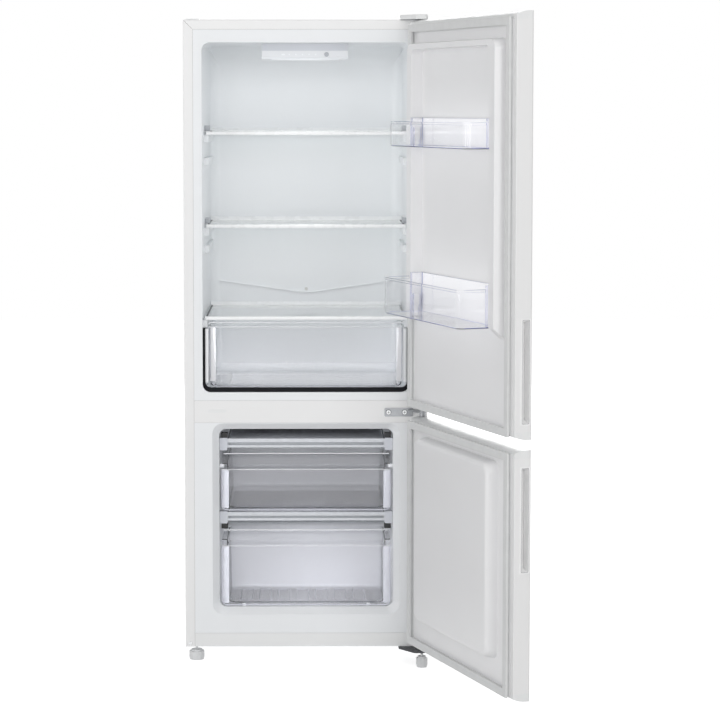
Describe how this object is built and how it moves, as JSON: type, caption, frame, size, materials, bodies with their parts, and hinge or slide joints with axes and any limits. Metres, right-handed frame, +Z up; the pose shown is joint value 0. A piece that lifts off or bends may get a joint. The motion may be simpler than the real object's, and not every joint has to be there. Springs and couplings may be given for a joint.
{
  "type": "bottom freezer refrigerator",
  "caption": "Upright white refrigerator with a tall shelved compartment over a freezer with clear drawers, both doors hinged on the right and shown standing open.",
  "frame": {"origin": "on the floor under the middle of the cabinet's front face", "axes": "+X to the viewer's right, towards the hinge side; +Y from the front into the cabinet; +Z up"},
  "size_m": [0.793, 1.1137, 1.591],
  "materials": {
    "white_steel": "smooth white baked enamel on steel sheet",
    "white_plastic": "moulded white ABS, satin",
    "cabinet_lining": "thermoformed polystyrene, satin, slightly cool white",
    "door_lining": "thermoformed polystyrene, satin",
    "door_grip": "moulded light grey plastic",
    "seal": "soft white magnetic seal",
    "insulation": "rigid foam, cut faces never seen",
    "galvanised_sheet": "zinc-coated sheet, dull",
    "hinge_zinc": "zinc-plated pressed steel",
    "hinge_dark": "dark painted pressed steel",
    "shelf_glass": "clear toughened float glass",
    "shelf_trim": "moulded pale grey plastic",
    "clear_plastic": "clear crystal polystyrene, bluish at its edges",
    "dark_trim": "dark extruded trim",
    "panel_grey": "moulded light grey plastic",
    "light_window": "milky light window",
    "button_grey": "moulded mid-grey plastic",
    "evaporator_metal": "pale coated tube and bars",
    "clip_plastic": "moulded pale plastic",
    "drain_plastic": "extruded tube",
    "compressor_black": "black painted steel can",
    "black_rubber": "moulded rubber",
    "black_plastic": "moulded black plastic",
    "condenser_black": "black painted steel tube and wire",
    "copper": "bare drawn tube",
    "foot_plastic": "moulded light grey plastic with a steel stud",
    "roller_plastic": "hard dark plastic"
  },
  "bodies": {
    "cabinet": {"cabinet_shell": "white_steel", "cabinet_foam": "insulation", "back_panel": "galvanised_sheet", "base_sheet": "galvanised_sheet", "fridge_liner": "cabinet_lining", "freezer_liner": "cabinet_lining", "mullion_cover": "white_steel", "hole_covers": "white_plastic", "bottom_front_rail": "white_plastic", "top_hinge": "hinge_zinc", "top_hinge_cover": "white_plastic", "middle_hinge": "hinge_zinc", "bottom_hinge": "hinge_dark", "hinge_screws": "hinge_zinc", "control_panel": "panel_grey", "light_windows": "light_window", "crisper_bay_trim": "dark_trim", "upper_evaporator": "evaporator_metal", "lower_evaporator": "evaporator_metal", "evaporator_clips": "clip_plastic", "drain_tube": "drain_plastic", "compressor": "compressor_black", "compressor_mounts": "black_rubber", "relay_box": "black_plastic", "evaporation_tray": "black_plastic", "condenser": "condenser_black", "refrigerant_pipes": "copper", "compressor_plate": "galvanised_sheet"},
    "upper_door": {"upper_door_panel": "white_steel", "upper_door_foam": "insulation", "upper_door_liner": "door_lining", "upper_door_gasket": "seal", "upper_door_bottom_cap": "white_plastic", "upper_door_top_cap": "white_plastic", "upper_door_grip": "door_grip"},
    "lower_door": {"lower_door_panel": "white_steel", "lower_door_foam": "insulation", "lower_door_liner": "door_lining", "lower_door_gasket": "seal", "lower_door_bottom_cap": "white_plastic", "lower_door_top_cap": "white_plastic", "lower_door_grip": "door_grip"},
    "upper_bin": {"upper_bin": "clear_plastic"},
    "lower_bin": {"lower_bin": "clear_plastic"},
    "upper_shelf": {"upper_shelf_glass": "shelf_glass", "upper_shelf_trims": "shelf_trim"},
    "middle_shelf": {"middle_shelf_glass": "shelf_glass", "middle_shelf_trims": "shelf_trim"},
    "crisper_cover": {"crisper_cover_glass": "shelf_glass", "crisper_cover_trims": "shelf_trim"},
    "crisper_drawer": {"crisper_drawer": "clear_plastic"},
    "upper_freezer_drawer": {"upper_freezer_drawer": "clear_plastic"},
    "lower_freezer_drawer": {"lower_freezer_drawer": "clear_plastic"},
    "temperature_button": {"temperature_button": "button_grey"},
    "left_foot": {"left_foot": "foot_plastic"},
    "right_foot": {"right_foot": "foot_plastic"},
    "left_roller": {"left_roller": "roller_plastic"},
    "right_roller": {"right_roller": "roller_plastic"}
  },
  "joints": [
    {"name": "upper_door_hinge", "type": "hinge", "parent": "cabinet", "child": "upper_door", "pos_m": [0.2835, -0.041, 1.11], "axis": [0, 0, 1], "range_deg": [-110.3, 24.7]},
    {"name": "lower_door_hinge", "type": "hinge", "parent": "cabinet", "child": "lower_door", "pos_m": [0.2835, -0.041, 0.337], "axis": [0, 0, 1], "range_deg": [-110.3, 24.7]},
    {"name": "upper_bin_lift", "type": "slide", "parent": "upper_door", "child": "upper_bin", "axis": [0, 0, 1], "range_m": [0, 0.036]},
    {"name": "lower_bin_lift", "type": "slide", "parent": "upper_door", "child": "lower_bin", "axis": [0, 0, 1], "range_m": [0, 0.036]},
    {"name": "upper_shelf_slide", "type": "slide", "parent": "cabinet", "child": "upper_shelf", "axis": [0, -1, 0], "range_m": [0, 0.15]},
    {"name": "middle_shelf_slide", "type": "slide", "parent": "cabinet", "child": "middle_shelf", "axis": [0, -1, 0], "range_m": [0, 0.15]},
    {"name": "crisper_cover_slide", "type": "slide", "parent": "cabinet", "child": "crisper_cover", "axis": [0, -1, 0], "range_m": [0, 0.05]},
    {"name": "crisper_drawer_slide", "type": "slide", "parent": "cabinet", "child": "crisper_drawer", "axis": [0, -1, 0], "range_m": [0, 0.29]},
    {"name": "upper_freezer_drawer_slide", "type": "slide", "parent": "cabinet", "child": "upper_freezer_drawer", "axis": [0, -1, 0], "range_m": [0, 0.27]},
    {"name": "lower_freezer_drawer_slide", "type": "slide", "parent": "cabinet", "child": "lower_freezer_drawer", "axis": [0, -1, 0], "range_m": [0, 0.15]},
    {"name": "temperature_button_press", "type": "slide", "parent": "cabinet", "child": "temperature_button", "axis": [0, 0.9798, 0.2], "range_m": [0, 0.0012], "stiffness_N_per_m": 400},
    {"name": "left_foot_turn", "type": "hinge", "parent": "cabinet", "child": "left_foot", "pos_m": [-0.272, 0.045, 0.02], "axis": [0, 0, 1], "range_deg": [-360, 360]},
    {"name": "right_foot_turn", "type": "hinge", "parent": "cabinet", "child": "right_foot", "pos_m": [0.2835, -0.041, 0.02], "axis": [0, 0, 1], "range_deg": [-360, 360]},
    {"name": "left_roller_spin", "type": "hinge", "parent": "cabinet", "child": "left_roller", "pos_m": [-0.225, 0.452, 0.014], "axis": [1, 0, 0], "continuous": true},
    {"name": "right_roller_spin", "type": "hinge", "parent": "cabinet", "child": "right_roller", "pos_m": [0.225, 0.452, 0.014], "axis": [1, 0, 0], "continuous": true}
  ]
}
